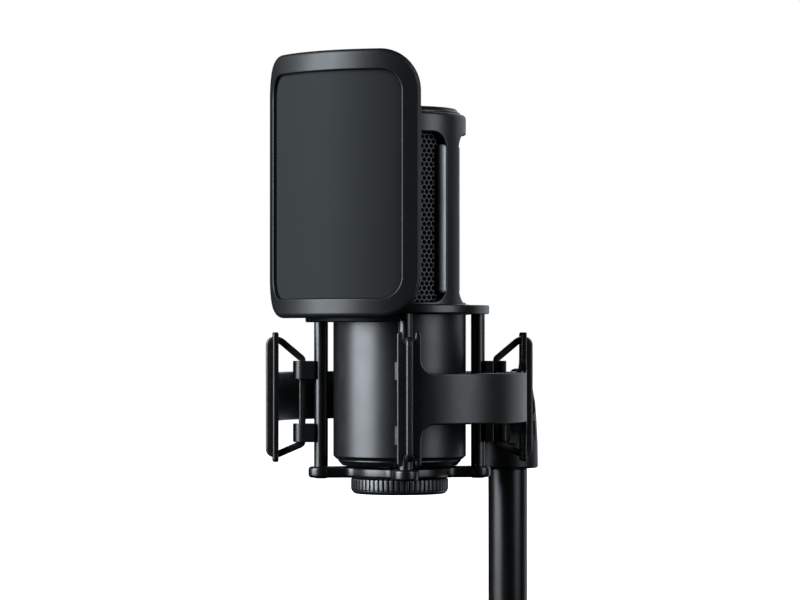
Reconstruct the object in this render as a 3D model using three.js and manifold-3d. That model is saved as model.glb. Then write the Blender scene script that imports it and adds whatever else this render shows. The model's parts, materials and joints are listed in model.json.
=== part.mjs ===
// A side-address studio microphone in its shock mount, with a curved pop shield in front.
// Millimetres, +Z up, front towards -Y. The origin is the centre of the stand tube's lower end.
import * as THREE from "three";
import { mergeVertices } from "three/addons/utils/BufferGeometryUtils.js";
import Module from "manifold-3d";

const wasm = await Module();
wasm.setup();

// ---- Driving dimensions ----
const gap = 0.2; // between two pieces that meet
const sides = { large: 44, medium: 32, small: 16, pin: 10 }; // facets round a circle

const tube = { r: 8.75, bore: 7.0, top: 65.2, studR: 7.6, studTop: 74.2 };
const socketR = 4.75; // thread of the socket in the tube's lower end
const micAxisY = -74.2; // the microphone's axis, in front of the stand tube's axis
const frameMidZ = 98.5; // mid-height of the outer frame
const frame = { r: 54.7, wall: 2.05, height: 21.1 };
const wing = { width: 10.2, height: 55.5, fillet: 6, notchWidth: 4.6, notchDepth: 4.9 };
const wingTurns = [-45, 45, 135, 225]; // degrees about Z, from +X

const adapter = { r: 13.6, bottom: 65.6, shelf: 77, slot: 5.2, cheekFront: 5, boreR: 9.6, boreTop: 74.8 };
const pivot = { y: 1.5, z: 94, hole: 3.15, shaft: 2.9, knobSeatR: 7.6, knobSeatX: -10.6 };
const boltCap = { r: 4.2, seatR: 4.6, seatX: 9.4, top: 11.2 };
const setScrewHole = { r: 1.6, floorX: 11.4, y: 2.2, z: 84.8 };
const lug = { half: 4.2, knuckleR: 7.5 };
const washer = { inner: 4.35, outer: 5.05, r: 6.2 };
const knob = { r: 9.5, hubR: 6.4, hub: 2.9, inner: -10.8, outer: -23.5, boreDepth: 9.4 };

const band = { width: 2.9, thick: 2.1, innerR: 41.9, outerR: 56.45, overNotch: 24.4 };
const bandTurn = { upperR: 50.2, lowerR: 52.1, upper: 16.3, lower: -20.0 };
const bandBend = { outside: 2.2, upper: 3.5, lower: 1.6, clip: 1.4 };
const plate = { r: 38.5, hole: 30.6, bottom: 35.5, top: 39.3 };
const spider = { ringR: 21, hole: 15.4, armWidth: 9, bossR: 5.4, bottom: -34.6, top: -29.8 };
const post = { circleR: 33.8, r: 3.0, spigotR: 1.7, boreR: 1.6, boreDepth: 10 };
const screw = { r: 1.3, headR: 2.8, seatR: 3.1, seatDepth: 1.9, top: -21 };
const clip = { reach: 45.7, back: 3.8, front: 4.8, height: 7.9, upper: 11.5, lower: -15.4 };
const nut = { r: 20.9, hole: 15.0, bottom: -41.4, top: -34.9, chamfer: 1.7 };

const micAim = 4.3; // degrees that the microphone is turned in its mount
const micBaseZ = -29.3; // the microphone's base, from the frame's mid-height
const mic = { r: 28.5, wall: 1.8, bodyTop: 64.8, neckR: 14.6, neckEnd: -11.7, neckBore: 9.9 };
const head = { bottom: 65.1, top: 150.2, wall: 4.6, pillar: 9.2, fillet: 7 };
const headWindow = { low: 69.7, high: 141.8 };
const cap = { r: 26.2, topR: 24.2, top: 152.8 };
const grille = { r: 23.3, wall: 0.7, bottom: 66, top: 146.5, split: 0.8 };
const liner = { r: 22.2, wall: 0.6 };
const capsule = { r: 17, depth: 9, z: 112 };

// The shield's width and corners are those of its unrolled front; back is its bend line's y.
const shield = { r: 57, depth: 8.7, back: 1.1, width: 89.7, bottom: 62.9, top: 174.2, corner: 17.5 };
const bezel = { side: 8.4, upper: 8.7, lower: 8.1, corner: 9.1 };
const screen = { front: 1.7, wall: 0.5, lap: 2.2 };
const foot = { half: 23, rimR: 38.9, lipR: 42, shelfR: 29 };
const footZ = { bottom: 61.2, lipTop: 63.4, shelf: 68.9, top: 71.4 };
const magnet = { r: 3.6, height: 1.7, x: 13, y: -32.6 };

// ---- Materials ----
const finish = (color, roughness, metalness) =>
  new THREE.MeshStandardMaterial({ color, roughness, metalness });
const satinMetal = finish(0x2a2d2e, 0.42, 0.6);
const mountPlastic = finish(0x262829, 0.5, 0.1);
const tubeMetal = finish(0x2b2e30, 0.38, 0.6);
const bandRubber = finish(0x303233, 0.7, 0);
const grilleMetal = finish(0x3a3d3e, 0.5, 0.7);
const screenCloth = finish(0x3d4142, 0.85, 0);
const foamGrey = finish(0x202223, 0.95, 0);
const steel = finish(0x8c9094, 0.3, 1);
const brass = finish(0xb08d4a, 0.35, 1);
const boardGreen = finish(0x1f5a38, 0.6, 0);
const ironCore = finish(0x54565a, 0.55, 0.7);
const goldFilm = finish(0xc9a24b, 0.25, 1);

// ---- Shape helpers ----
function toSolid(geometry) {
  const bare = geometry.index ? geometry.toNonIndexed() : geometry.clone();
  bare.deleteAttribute("normal");
  bare.deleteAttribute("uv");
  const merged = mergeVertices(bare, 1e-3);
  const vertProperties = merged.attributes.position.array;
  const triVerts = new Uint32Array(merged.index.array);
  return new wasm.Manifold(new wasm.Mesh({ numProp: 3, vertProperties, triVerts }));
}

function toGeometry(solid) {
  const mesh = solid.getMesh();
  const geometry = new THREE.BufferGeometry();
  geometry.setAttribute("position", new THREE.BufferAttribute(mesh.vertProperties, mesh.numProp));
  geometry.setIndex(new THREE.BufferAttribute(mesh.triVerts, 1));
  return geometry;
}

// A profile of [radius, height] points turned about Z. The outside of the profile runs upwards.
function turned(profile, segments = sides.medium) {
  const points = profile.map(([r, z]) => new THREE.Vector2(r, z));
  return new THREE.LatheGeometry(points, segments).rotateX(Math.PI / 2);
}

// A ring of rectangular section with its outer edges broken by a chamfer.
function ring(inner, outer, bottom, top, chamfer = 0, segments = sides.medium) {
  const profile = [
    [inner, bottom],
    [outer - chamfer, bottom],
    [outer, bottom + chamfer],
    [outer, top - chamfer],
    [outer - chamfer, top],
    [inner, top],
    [inner, bottom],
  ];
  const kept = chamfer ? profile : profile.filter((_, i) => i !== 2 && i !== 4);
  return turned(kept, segments);
}

const disc = (r, bottom, top, segments = sides.medium) =>
  turned([[0, bottom], [r, bottom], [r, top], [0, top]], segments);

// A round bar along X, from x = low to x = high, about the point (y, z).
const barAlongX = (r, low, high, y, z, segments = sides.small) =>
  disc(r, low, high, segments).rotateY(Math.PI / 2).translate(0, y, z);

// A round bar along Y, from y = low to y = high, about the point (x, z).
const barAlongY = (r, low, high, x, z, segments = sides.medium) =>
  disc(r, -high, -low, segments).rotateX(Math.PI / 2).translate(x, 0, z);

function block(low, high) {
  const size = high.map((value, i) => value - low[i]);
  const middle = high.map((value, i) => (value + low[i]) / 2);
  return new THREE.BoxGeometry(...size).translate(...middle);
}

function outline(points) {
  return new THREE.Shape(points.map(([x, y]) => new THREE.Vector2(x, y)));
}

const prism = (shape, depth, curveSegments = 4) =>
  new THREE.ExtrudeGeometry(shape, { depth, bevelEnabled: false, curveSegments });

// Drawn in (width, height), then stood up so that it runs along Y from y = low to y = high.
const standingPrism = (shape, low, high) =>
  prism(shape, high - low).rotateX(Math.PI / 2).translate(0, high, 0);

// Drawn in (across, height), then stood up so that it runs along X from x = 0 to x = depth.
const facingX = (shape, depth) => prism(shape, depth).rotateX(Math.PI / 2).rotateZ(Math.PI / 2);

function roundedRectangle(width, bottom, top, radius) {
  const half = width / 2;
  const shape = new THREE.Shape();
  shape.moveTo(half, bottom + radius);
  shape.lineTo(half, top - radius);
  shape.absarc(half - radius, top - radius, radius, 0, Math.PI / 2);
  shape.lineTo(radius - half, top);
  shape.absarc(radius - half, top - radius, radius, Math.PI / 2, Math.PI);
  shape.lineTo(-half, bottom + radius);
  shape.absarc(radius - half, bottom + radius, radius, Math.PI, 1.5 * Math.PI);
  shape.lineTo(half - radius, bottom);
  shape.absarc(half - radius, bottom + radius, radius, 1.5 * Math.PI, 2 * Math.PI);
  return shape;
}

// An upright strip that flares with a fillet into the bands above and below it.
function flaredStrip(half, low, high, fillet) {
  const far = half + fillet;
  const shape = new THREE.Shape();
  shape.moveTo(-far, low - 1);
  shape.lineTo(far, low - 1);
  shape.lineTo(far, low);
  shape.absarc(far, low + fillet, fillet, 1.5 * Math.PI, Math.PI, true);
  shape.lineTo(half, high - fillet);
  shape.absarc(far, high - fillet, fillet, Math.PI, Math.PI / 2, true);
  shape.lineTo(far, high + 1);
  shape.lineTo(-far, high + 1);
  shape.lineTo(-far, high);
  shape.absarc(-far, high - fillet, fillet, Math.PI / 2, 0, true);
  shape.lineTo(-half, low + fillet);
  shape.absarc(-far, low + fillet, fillet, 0, -Math.PI / 2, true);
  return shape;
}

// A closed polygon with its corners rounded: corners are [x, y, radius].
function roundedLoop(corners, steps = 3) {
  const points = [];
  corners.forEach(([x, y, radius], i) => {
    const at = new THREE.Vector2(x, y);
    const before = corners[(i + corners.length - 1) % corners.length];
    const after = corners[(i + 1) % corners.length];
    const back = new THREE.Vector2(before[0], before[1]).sub(at).normalize();
    const on = new THREE.Vector2(after[0], after[1]).sub(at).normalize();
    const halfAngle = Math.acos(back.dot(on)) / 2;
    const reach = radius / Math.tan(halfAngle);
    const middle = back.clone().add(on).normalize().multiplyScalar(radius / Math.sin(halfAngle)).add(at);
    const from = back.clone().multiplyScalar(reach).add(at).sub(middle).angle();
    let sweep = on.clone().multiplyScalar(reach).add(at).sub(middle).angle() - from;
    if (sweep > Math.PI) sweep -= 2 * Math.PI;
    if (sweep < -Math.PI) sweep += 2 * Math.PI;
    for (let k = 0; k <= steps; k++) {
      const angle = from + (sweep * k) / steps;
      points.push([middle.x + radius * Math.cos(angle), middle.y + radius * Math.sin(angle)]);
    }
  });
  return points;
}

// ---- Assembly helpers ----
const assembly = new THREE.Group();

function add(group, name, shape, material) {
  const geometry = shape.isBufferGeometry ? shape : toGeometry(shape);
  const mesh = new THREE.Mesh(geometry, material);
  mesh.name = name;
  group.add(mesh);
  return mesh;
}

function subGroup(parent, x, y, z, turn = 0) {
  const group = new THREE.Group();
  group.position.set(x, y, z);
  group.rotation.z = THREE.MathUtils.degToRad(turn);
  parent.add(group);
  return group;
}

const cut = (solid, ...geometries) => geometries.reduce((left, g) => left.subtract(toSolid(g)), solid);

// ---- Stand tube and swivel adapter ----
function standTube() {
  return turned([
    [tube.bore, 2.2],
    [tube.r, 2.2],
    [tube.r, tube.top],
    [tube.studR, tube.top],
    [tube.studR, tube.studTop],
    [5.5, tube.studTop],
    [5.5, tube.top - 2],
    [tube.bore, tube.top - 4],
    [tube.bore, 2.2],
  ]);
}

function tubeEndBush() {
  return turned([
    [socketR, 0],
    [tube.r, 0],
    [tube.r, 2],
    [tube.bore - gap, 2],
    [tube.bore - gap, 14],
    [socketR, 14],
    [socketR, 0],
  ]);
}

function standAdapter() {
  const body = turned([
    [0, adapter.bottom],
    [adapter.r - 1, adapter.bottom],
    [adapter.r, adapter.bottom + 1],
    [13.4, 77],
    [12.9, 87],
    [12.3, 95],
    [11.2, 101],
    [9.2, 106.5],
    [6, 110],
    [0, 111.2],
  ]);
  return cut(
    toSolid(body),
    block([-adapter.slot, -20, adapter.shelf], [adapter.slot, 20, 120]),
    block([-20, -20, adapter.shelf], [20, -adapter.cheekFront, 120]),
    disc(adapter.boreR, adapter.bottom - 1, adapter.boreTop),
    barAlongX(pivot.hole, -20, 20, pivot.y, pivot.z),
    barAlongX(boltCap.seatR, boltCap.seatX, 20, pivot.y, pivot.z),
    barAlongX(pivot.knobSeatR, -20, pivot.knobSeatX, pivot.y, pivot.z),
    barAlongX(setScrewHole.r, setScrewHole.floorX, 20, setScrewHole.y, setScrewHole.z),
  );
}

const threadBush = () => ring(tube.studR + gap, adapter.boreR - gap, 66, adapter.boreTop - gap);

function tiltBolt() {
  const profile = [
    [0, pivot.knobSeatX - 9],
    [pivot.shaft, pivot.knobSeatX - 9],
    [pivot.shaft, boltCap.seatX + gap],
    [boltCap.r, boltCap.seatX + gap],
    [boltCap.r, boltCap.top - 0.5],
    [boltCap.r - 0.5, boltCap.top],
    [0, boltCap.top],
  ];
  return turned(profile, sides.small).rotateY(Math.PI / 2).translate(0, pivot.y, pivot.z);
}

function frictionWasher(side) {
  const shape = ring(pivot.hole, washer.r, washer.inner, washer.outer, 0, sides.small);
  return shape.rotateY((side * Math.PI) / 2).translate(0, pivot.y, pivot.z);
}

// A grip with a blind bore for the bolt's end.
function tiltKnob() {
  const depth = knob.inner - knob.outer;
  const bore = pivot.shaft + gap;
  const profile = [
    [0, knob.boreDepth],
    [bore, knob.boreDepth],
    [bore, 0],
    [knob.hubR, 0],
    [knob.hubR, knob.hub],
    [knob.r - 1, knob.hub],
    [knob.r, knob.hub + 1],
    [knob.r, depth - 1.4],
    [knob.r - 1.4, depth],
    [0, depth],
  ];
  return turned(profile, sides.small + 4).rotateY(-Math.PI / 2).translate(knob.inner, pivot.y, pivot.z);
}

// ---- Outer frame: a band with four upright wings and the pivot lug behind ----
function wingOutline() {
  const half = wing.width / 2;
  const top = wing.height / 2;
  const bandTop = frame.height / 2;
  const far = half + wing.fillet;
  const notch = wing.notchWidth / 2;
  const floor = top - wing.notchDepth;
  const shape = new THREE.Shape();
  shape.moveTo(far, -bandTop);
  shape.lineTo(far, bandTop);
  shape.absarc(far, bandTop + wing.fillet, wing.fillet, 1.5 * Math.PI, Math.PI, true);
  shape.absarc(half - 1, top - 1, 1, 0, Math.PI / 2);
  shape.lineTo(notch, top);
  shape.lineTo(notch, floor);
  shape.lineTo(-notch, floor);
  shape.lineTo(-notch, top);
  shape.absarc(1 - half, top - 1, 1, Math.PI / 2, Math.PI);
  shape.absarc(-far, bandTop + wing.fillet, wing.fillet, 0, -Math.PI / 2, true);
  shape.lineTo(-far, -bandTop);
  shape.absarc(-far, -bandTop - wing.fillet, wing.fillet, Math.PI / 2, 0, true);
  shape.absarc(1 - half, 1 - top, 1, Math.PI, 1.5 * Math.PI);
  shape.lineTo(-notch, -top);
  shape.lineTo(-notch, -floor);
  shape.lineTo(notch, -floor);
  shape.lineTo(notch, -top);
  shape.absarc(half - 1, 1 - top, 1, 1.5 * Math.PI, 2 * Math.PI);
  shape.absarc(far, -bandTop - wing.fillet, wing.fillet, Math.PI, Math.PI / 2, true);
  return shape;
}

// The lug runs from the band back to the pivot, in the frame's own coordinates.
function pivotLug() {
  const rear = pivot.y - micAxisY;
  const height = pivot.z - frameMidZ;
  const front = frame.r - frame.wall / 2;
  const shape = new THREE.Shape();
  shape.moveTo(front, -9);
  shape.lineTo(rear - 2, height - lug.knuckleR);
  shape.absarc(rear, height, lug.knuckleR, 1.4 * Math.PI, 2.6 * Math.PI);
  shape.lineTo(front, 9);
  return facingX(shape, 2 * lug.half).translate(-lug.half, 0, 0);
}

function outerFrame() {
  const inner = frame.r - frame.wall;
  const bandRing = toSolid(ring(inner, frame.r, -frame.height / 2, frame.height / 2, 0, sides.large));
  const wall = toSolid(ring(inner, frame.r, -wing.height, wing.height, 0, sides.large));
  const upright = facingX(wingOutline(), 20).translate(frame.r - 10, 0, 0);
  const wings = wingTurns.map((turn) => {
    const placed = upright.clone().rotateZ(THREE.MathUtils.degToRad(turn));
    return wall.intersect(toSolid(placed));
  });
  const joined = wings.reduce((left, one) => left.add(one), bandRing).add(toSolid(pivotLug()));
  const hole = barAlongX(pivot.hole, -20, 20, pivot.y - micAxisY, pivot.z - frameMidZ);
  return cut(joined, hole, openFront());
}

// The frame is open at the front: its two front wings have straight free edges.
function openFront() {
  const trim = 0.05;
  const apex = -(wing.width / 2 - trim) * Math.SQRT2;
  const shape = new THREE.Shape();
  shape.moveTo(0, apex);
  shape.lineTo(-2 * frame.r, apex - 2 * frame.r);
  shape.lineTo(2 * frame.r, apex - 2 * frame.r);
  return prism(shape, 2 * wing.height).translate(0, 0, -wing.height);
}

// ---- Elastic bands: closed loops round a wing and through a post's two clips ----
function elasticBand() {
  const { innerR, outerR, overNotch } = band;
  const path = [
    [outerR, overNotch, bandBend.outside],
    [bandTurn.upperR, overNotch, bandBend.upper],
    [innerR, bandTurn.upper, bandBend.clip],
    [innerR, bandTurn.lower, bandBend.clip],
    [bandTurn.lowerR, -overNotch, bandBend.lower],
    [outerR, -overNotch, bandBend.outside],
  ];
  const half = band.thick / 2;
  const withRadii = (offset) => path.map(([x, z, r]) => [x, z, r + offset]);
  const outside = roundedLoop(offsetCorners(withRadii(half), half));
  const inside = roundedLoop(offsetCorners(withRadii(-half), -half));
  const shape = outline(outside);
  shape.holes.push(new THREE.Path(inside.map(([x, z]) => new THREE.Vector2(x, z))));
  return prism(shape, band.width).rotateX(Math.PI / 2).translate(0, band.width / 2, 0);
}

// Moves every corner of a convex or concave loop outwards by an offset; corners run anticlockwise.
function offsetCorners(corners, offset) {
  return corners.map(([x, y, radius], i) => {
    const before = corners[(i + corners.length - 1) % corners.length];
    const after = corners[(i + 1) % corners.length];
    const intoCorner = new THREE.Vector2(x - before[0], y - before[1]).normalize();
    const outOfCorner = new THREE.Vector2(after[0] - x, after[1] - y).normalize();
    const bisector = intoCorner.clone().add(outOfCorner).normalize();
    const length = offset / bisector.dot(intoCorner);
    return [x + bisector.y * length, y - bisector.x * length, radius];
  });
}

// ---- Inner cage: upper plate, lower spider, four posts and their band clips ----
function upperPlate() {
  const body = toSolid(ring(plate.hole, plate.r, plate.bottom, plate.top, 0.6, sides.large));
  const holes = wingTurns.map((turn) => postBore(turn, post.spigotR + gap, plate.bottom - 1, plate.top + 1));
  return cut(body, ...holes);
}

function plateLiner() {
  return ring(mic.r + gap, plate.hole - gap, plate.bottom - 0.3, plate.top + 0.3);
}

function postBore(turn, r, bottom, top) {
  const angle = THREE.MathUtils.degToRad(turn);
  const x = post.circleR * Math.cos(angle);
  const y = post.circleR * Math.sin(angle);
  return disc(r, bottom, top, sides.pin).translate(x, y, 0);
}

function lowerSpider() {
  const { ringR, hole, bossR, bottom, top, armWidth } = spider;
  const shape = new THREE.Shape();
  const fillet = 5;
  const inside = armWidth / 2;
  const out = post.circleR;
  const rootAngle = Math.asin((inside + fillet) / (ringR + fillet));
  const rootX = (ringR + fillet) * Math.cos(rootAngle);
  for (let k = 0; k < 4; k++) {
    const turn = (k * Math.PI) / 2;
    const at = (x, y) => new THREE.Vector2(x, y).rotateAround(new THREE.Vector2(), turn).toArray();
    const bossMeet = Math.PI - Math.asin(inside / bossR);
    const quarter = Math.PI / 2;
    const root = Math.PI - rootAngle;
    shape.absarc(...at(rootX, -inside - fillet), fillet, turn + root, turn + quarter, true);
    shape.absarc(...at(out, 0), bossR, turn - bossMeet, turn + bossMeet);
    shape.absarc(...at(rootX, inside + fillet), fillet, turn - quarter, turn - root, true);
  }
  const body = prism(shape, top - bottom).rotateZ(Math.PI / 4).translate(0, 0, bottom);
  const seats = wingTurns.flatMap((turn) => [
    postBore(turn, post.boreR + gap, bottom - 1, top + 1),
    postBore(turn, screw.seatR, bottom - 1, bottom + screw.seatDepth),
  ]);
  return cut(toSolid(body), disc(hole, bottom - 1, top + 1), ...seats);
}

function cagePost() {
  const bottom = spider.top + gap;
  const top = plate.bottom - gap;
  return turned(
    [
      [0, bottom + post.boreDepth],
      [post.boreR, bottom + post.boreDepth],
      [post.boreR, bottom],
      [post.r, bottom],
      [post.r, top],
      [post.spigotR, top],
      [post.spigotR, plate.top - 0.4],
      [0, plate.top - 0.4],
    ],
    sides.small,
  );
}

function postScrew() {
  const headBottom = spider.bottom + gap;
  return turned(
    [
      [0, headBottom],
      [screw.headR, headBottom],
      [screw.headR, headBottom + 1.4],
      [screw.r, headBottom + 1.4],
      [screw.r, screw.top],
      [0, screw.top],
    ],
    sides.pin,
  );
}

// A C-shaped hook: its nose is rounded on its closed side, and its channel opens sideways for the band.
function bandClip(middle) {
  const channel = band.thick / 2 + gap;
  const floor = band.width / 2 + gap;
  const { reach, back, front, height } = clip;
  const shape = new THREE.Shape();
  shape.moveTo(post.circleR + 2.4, -front);
  shape.lineTo(band.innerR - channel, -front);
  shape.lineTo(band.innerR - channel, floor);
  shape.lineTo(band.innerR + channel, floor);
  shape.lineTo(band.innerR + channel, -front);
  shape.lineTo(reach - 0.6, -front);
  shape.lineTo(reach, 0.6 - front);
  shape.lineTo(reach, 0);
  shape.absarc(reach - back, 0, back, 0, Math.PI / 2);
  shape.lineTo(post.circleR + 2.4, back);
  const body = prism(shape, height).translate(0, 0, middle - height / 2);
  const seat = disc(post.r + gap, -60, 60, sides.small).translate(post.circleR, 0, 0);
  return cut(toSolid(body), seat);
}

// ---- Ring nut under the spider ----
function ringNut() {
  const { r, hole, bottom, top, chamfer } = nut;
  return turned([
    [hole, bottom],
    [r - chamfer, bottom],
    [r, bottom + chamfer],
    [r, top],
    [hole, top],
    [hole, bottom],
  ]);
}

// ---- Microphone body, from its base ----
function micTube() {
  const inner = mic.r - mic.wall;
  return turned([
    [inner, 2.7],
    [27.1, 2.7],
    [mic.r, 4.1],
    [mic.r, mic.bodyTop],
    [inner, mic.bodyTop],
    [inner, 2.7],
  ]);
}

// The stepped base, its threaded neck below and its spigot inside the tube.
function baseCap() {
  return turned([
    [mic.neckBore, mic.neckEnd],
    [mic.neckR, mic.neckEnd],
    [mic.neckR, 0],
    [24, 0],
    [24.6, 0.3],
    [26.6, 2.2],
    [26.4, 2.4],
    [26.4, 9],
    [23, 9],
    [23, 5],
    [mic.neckBore, 5],
    [mic.neckBore, mic.neckEnd],
  ]);
}

const pinPlaces = [
  [0, 3.6],
  [3.6, -1.4],
  [-3.6, -1.4],
];

function xlrInsert() {
  const body = toSolid(disc(mic.neckBore - gap, -2, 4));
  return cut(body, ...pinPlaces.map(([x, y]) => disc(1.4, -3, 5, sides.pin).translate(x, y, 0)));
}

function xlrPin([x, y]) {
  const profile = [
    [0, -6.8],
    [0.7, -6.8],
    [1.2, -6.2],
    [1.2, 7],
    [0, 7],
  ];
  return turned(profile, sides.pin).translate(x, y, 0);
}

const chassisRail = (side) => block([side * 20 - 1.5, -4, 9.4], [side * 20 + 1.5, 4, 60.6]);
const circuitBoard = () => block([-18, 4.6, 12], [18, 6.2, 58]);

function transformer() {
  const shape = roundedRectangle(18, 14, 32, 2);
  return standingPrism(shape, -11, 4.2);
}

function headFloor() {
  const body = toSolid(disc(mic.r - mic.wall - gap, 61, 64.6));
  return cut(body, disc(3, 60, 66, sides.pin).translate(0, 8, 0));
}

// ---- Head: a casing with a front and a rear window, its lid and its grilles ----
function headFrame() {
  const inner = mic.r - head.wall;
  const strip = flaredStrip(head.pillar / 2, headWindow.low, headWindow.high, head.fillet);
  const pillars = facingX(strip, 80).translate(-40, 0, 0);
  const wall = toSolid(ring(inner, mic.r, head.bottom, headWindow.high + 1, 0, sides.large));
  const collar = toSolid(ring(inner, mic.r, head.bottom, headWindow.low, 0, sides.large));
  const crown = toSolid(ring(inner, mic.r, headWindow.high, head.top, 0.4, sides.large));
  return wall.intersect(toSolid(pillars)).add(collar).add(crown);
}

function headLid() {
  const plugR = mic.r - head.wall - gap;
  return turned([
    [0, 148],
    [plugR, 148],
    [plugR, head.top + 0.2],
    [cap.r, head.top + 0.2],
    [cap.r, 151.1],
    [cap.topR, cap.top],
    [0, cap.top],
  ]);
}

function grilleHalf(side) {
  const { r, wall, bottom, top, split } = grille;
  const shell = toSolid(ring(r - wall, r, bottom, top));
  const near = side < 0 ? -40 : split;
  const far = side < 0 ? -split : 40;
  return shell.intersect(toSolid(block([-40, near, bottom - 5], [40, far, top + 5])));
}

const grilleLiner = () => ring(liner.r - liner.wall, liner.r, grille.bottom, grille.top);

// ---- Capsule ----
const capsuleBody = () => barAlongY(capsule.r, -capsule.depth / 2, capsule.depth / 2, 0, capsule.z);

function diaphragm(side) {
  const near = side * (capsule.depth / 2 + gap);
  const far = side * (capsule.depth / 2 + 1.6);
  return barAlongY(capsule.r - 1, Math.min(near, far), Math.max(near, far), 0, capsule.z);
}

function capsuleSaddle() {
  const body = toSolid(block([-8, -5.5, 64.8], [8, 5.5, 100]));
  const cradle = barAlongY(capsule.r + 0.3, -10, 10, 0, capsule.z);
  const slot = block([-4, -10, 70], [4, 10, 88]);
  return cut(body, cradle, slot);
}

// ---- Pop shield: an upright shell bent about a line inside the microphone ----
// Wraps an outline of the unrolled front round the bend line, with side walls that point at the line.
function wrapped(shape) {
  const geometry = prism(shape, 1, 6);
  const { position } = geometry.attributes;
  for (let i = 0; i < position.count; i++) {
    const angle = position.getX(i) / shield.r;
    const reach = position.getZ(i) > 0.5 ? 1.4 * shield.r : 0.5 * shield.r;
    position.setXYZ(i, reach * Math.sin(angle), -reach * Math.cos(angle), position.getY(i));
  }
  return toSolid(geometry);
}

function shieldOutline(inset) {
  const { width, bottom, top, corner } = shield;
  return wrapped(roundedRectangle(width - 2 * inset, bottom + inset, top - inset, corner - inset));
}

function windowOutline(grow) {
  const width = shield.width - 2 * (bezel.side - grow);
  const bottom = shield.bottom + bezel.lower - grow;
  const top = shield.top - bezel.upper + grow;
  return wrapped(roundedRectangle(width, bottom, top, bezel.corner + grow));
}

// A layer of the shield from one radius to another, still centred on the bend line.
const shieldLayer = (outer, inner) =>
  toSolid(ring(inner, outer, shield.bottom - 5, shield.top + 5, 0, 2 * sides.medium));

const placed = (solid) => toGeometry(solid).translate(0, shield.back, 0);

const screenFront = shield.r - screen.front;
const foamFront = screenFront - screen.wall - gap;
const layerBack = shield.r - 5;

function shieldFrame() {
  const shell = shieldLayer(shield.r, layerBack + gap).intersect(shieldOutline(0));
  const rebate = shieldLayer(screenFront + gap, layerBack - 1).intersect(windowOutline(screen.lap));
  return placed(shell.subtract(windowOutline(0)).subtract(rebate));
}

// The cloth screen and the foam behind it both fill the frame's rebate.
const rebateLayer = (outer, inner) =>
  placed(shieldLayer(outer, inner).intersect(windowOutline(screen.lap - gap)));

const shieldScreen = () => rebateLayer(screenFront, screenFront - screen.wall);
const shieldFoam = () => rebateLayer(foamFront, layerBack + gap);

function shieldBack() {
  const shell = shieldLayer(layerBack, shield.r - shield.depth).intersect(shieldOutline(0.6));
  return placed(shell.subtract(windowOutline(0)));
}

// A lip in front of the plate's rim and a shelf on the plate, with a pocket for each magnet.
function shieldFoot() {
  const shieldRear = shield.r - shield.depth - gap;
  const bridge = ring(1, shieldRear, footZ.lipTop, footZ.top, 0, 2 * sides.medium);
  const lip = disc(foot.lipR, footZ.bottom, footZ.lipTop + 1, sides.large);
  const width = toSolid(block([-foot.half, -60, footZ.bottom], [foot.half, -20, footZ.top]));
  const body = cut(
    width.intersect(toSolid(bridge.translate(0, shield.back, 0)).add(toSolid(lip))),
    disc(foot.rimR, footZ.bottom - 1, footZ.shelf, sides.large),
    disc(foot.shelfR, footZ.bottom - 1, footZ.top + 1, sides.large),
  );
  const pocketTop = footZ.shelf + magnet.height + gap;
  const pocket = (side) => magnetDisc(side, magnet.r + gap, footZ.shelf - 1, pocketTop);
  return cut(body, pocket(1), pocket(-1));
}

const magnetDisc = (side, r, bottom, top) =>
  disc(r, bottom, top, sides.small).translate(side * magnet.x, magnet.y, 0);

const shieldMagnet = (side) => magnetDisc(side, magnet.r, footZ.shelf, footZ.shelf + magnet.height);

// ---- Putting it together ----
const stand = subGroup(assembly, 0, 0, 0);
add(stand, "stand_tube", standTube(), tubeMetal);
add(stand, "tube_end_bush", tubeEndBush(), brass);
add(stand, "stand_adapter", standAdapter(), mountPlastic);
add(stand, "adapter_thread_bush", threadBush(), brass);
add(stand, "tilt_bolt", tiltBolt(), satinMetal);
add(stand, "tilt_knob", tiltKnob(), mountPlastic);
add(stand, "friction_washer_right", frictionWasher(1), steel);
add(stand, "friction_washer_left", frictionWasher(-1), steel);

const mount = subGroup(assembly, 0, micAxisY, frameMidZ);
add(mount, "outer_frame", outerFrame(), mountPlastic);
add(mount, "upper_plate", upperPlate(), satinMetal);
add(mount, "plate_liner", plateLiner(), bandRubber);
add(mount, "lower_spider", lowerSpider(), satinMetal);
add(mount, "ring_nut", ringNut(), mountPlastic);

wingTurns.forEach((turn, i) => {
  const number = i + 1;
  const spoke = subGroup(mount, 0, 0, 0, turn);
  add(spoke, "elastic_band_" + number, elasticBand(), bandRubber);
  add(spoke, "upper_clip_" + number, bandClip(clip.upper), mountPlastic);
  add(spoke, "lower_clip_" + number, bandClip(clip.lower), mountPlastic);
  const column = subGroup(spoke, post.circleR, 0, 0);
  add(column, "post_" + number, cagePost(), satinMetal);
  add(column, "post_screw_" + number, postScrew(), steel);
});

const microphone = subGroup(mount, 0, 0, micBaseZ, micAim);
add(microphone, "mic_tube", micTube(), satinMetal);
add(microphone, "base_cap", baseCap(), satinMetal);
add(microphone, "xlr_insert", xlrInsert(), mountPlastic);
pinPlaces.forEach((place, i) => add(microphone, "xlr_pin_" + (i + 1), xlrPin(place), steel));
add(microphone, "chassis_rail_right", chassisRail(1), steel);
add(microphone, "chassis_rail_left", chassisRail(-1), steel);
add(microphone, "circuit_board", circuitBoard(), boardGreen);
add(microphone, "transformer", transformer(), ironCore);
add(microphone, "head_floor", headFloor(), satinMetal);
add(microphone, "head_frame", headFrame(), satinMetal);
add(microphone, "head_lid", headLid(), satinMetal);
add(microphone, "front_grille", grilleHalf(-1), grilleMetal);
add(microphone, "rear_grille", grilleHalf(1), grilleMetal);
add(microphone, "grille_liner", grilleLiner(), grilleMetal);
add(microphone, "capsule_body", capsuleBody(), brass);
add(microphone, "front_diaphragm", diaphragm(-1), goldFilm);
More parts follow.
